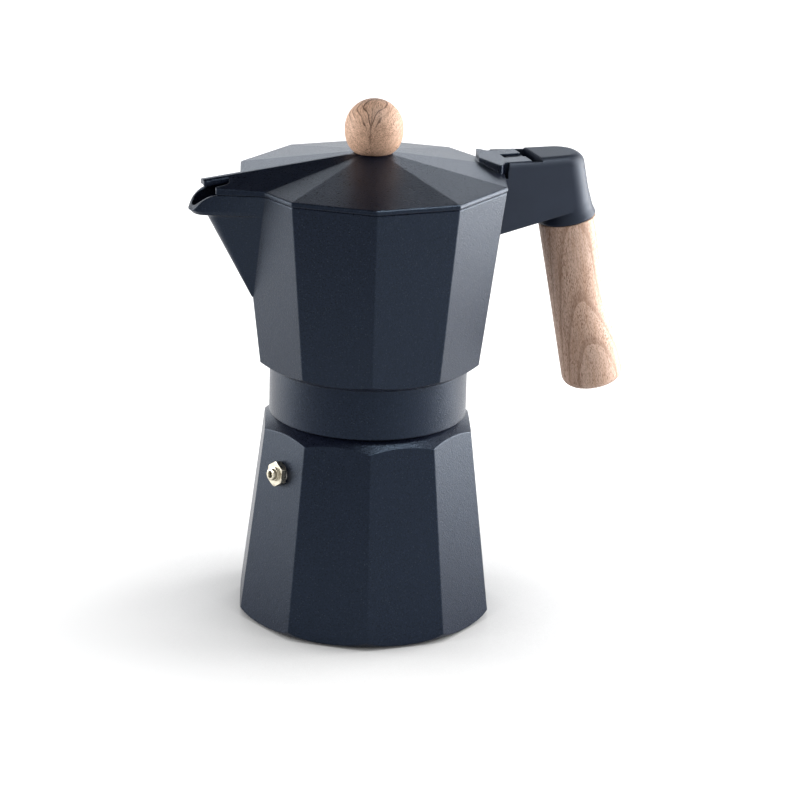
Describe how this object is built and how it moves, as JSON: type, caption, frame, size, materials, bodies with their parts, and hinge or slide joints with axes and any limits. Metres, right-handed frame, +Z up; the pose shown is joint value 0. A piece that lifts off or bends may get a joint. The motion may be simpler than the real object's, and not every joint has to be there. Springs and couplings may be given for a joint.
{
  "type": "moka pot",
  "caption": "Stove-top coffee maker: ten-sided boiler and pouring pot screwed together, hinged lid with ball knob, wooden grip on a bracket.",
  "frame": {"origin": "centre of the boiler's flat foot, on the ground", "axes": "+Z up through boiler, pot and knob; +X towards the handle; spout along -X"},
  "size_m": [0.2039, 0.1148, 0.2328],
  "materials": {
    "body_coat": "fine matte powder coat on cast aluminium",
    "brass": "plain turned",
    "seal_rubber": "matte silicone",
    "steel": "plain zinc plated",
    "bare_aluminium": "satin",
    "bracket_plastic": "satin moulded",
    "beech": "sanded, oiled"
  },
  "bodies": {
    "base": {"boiler": "body_coat", "valve_body": "brass", "valve_washer": "seal_rubber", "valve_retainer": "brass", "valve_spring": "steel"},
    "poppet": {"valve_poppet": "brass"},
    "funnel": {"funnel": "bare_aluminium", "funnel_filter": "bare_aluminium"},
    "brew_group": {"gasket": "seal_rubber", "filter_plate": "bare_aluminium"},
    "pot": {"upper_pot": "body_coat", "column": "bare_aluminium", "handle_bracket": "bracket_plastic", "bracket_screws": "steel", "grip": "beech", "grip_screw": "steel", "grip_washer": "steel", "grip_insert": "brass", "hinge_pin": "steel"},
    "lid": {"lid": "body_coat", "lid_knob": "beech", "knob_insert": "brass", "knob_screw": "steel", "knob_washer": "steel"}
  },
  "joints": [
    {"name": "pot_lift", "type": "slide", "parent": "base", "child": "brew_group", "axis": [0, 0, 1], "range_m": [0, 0.012]},
    {"name": "pot_turn", "type": "hinge", "parent": "brew_group", "child": "pot", "pos_m": [0, 0, 0.1], "axis": [0, 0, 1], "range_deg": [0, 1440]},
    {"name": "lid_hinge", "type": "hinge", "parent": "pot", "child": "lid", "pos_m": [0.066, 0, 0.19898], "axis": [0, 1, 0], "range_deg": [0, 105]},
    {"name": "valve_pop", "type": "slide", "parent": "base", "child": "poppet", "axis": [-0.9446, -0.3069, 0.116], "range_m": [0, 0.001], "stiffness_N_per_m": 1000, "springref_m": -0.001},
    {"name": "funnel_spin", "type": "hinge", "parent": "base", "child": "funnel", "pos_m": [0, 0, 0.1], "axis": [0, 0, 1], "continuous": true}
  ],
  "couplings": [
    {"joint": "pot_lift", "follows": "pot_turn", "m_per_rad": 0.00047746}
  ]
}
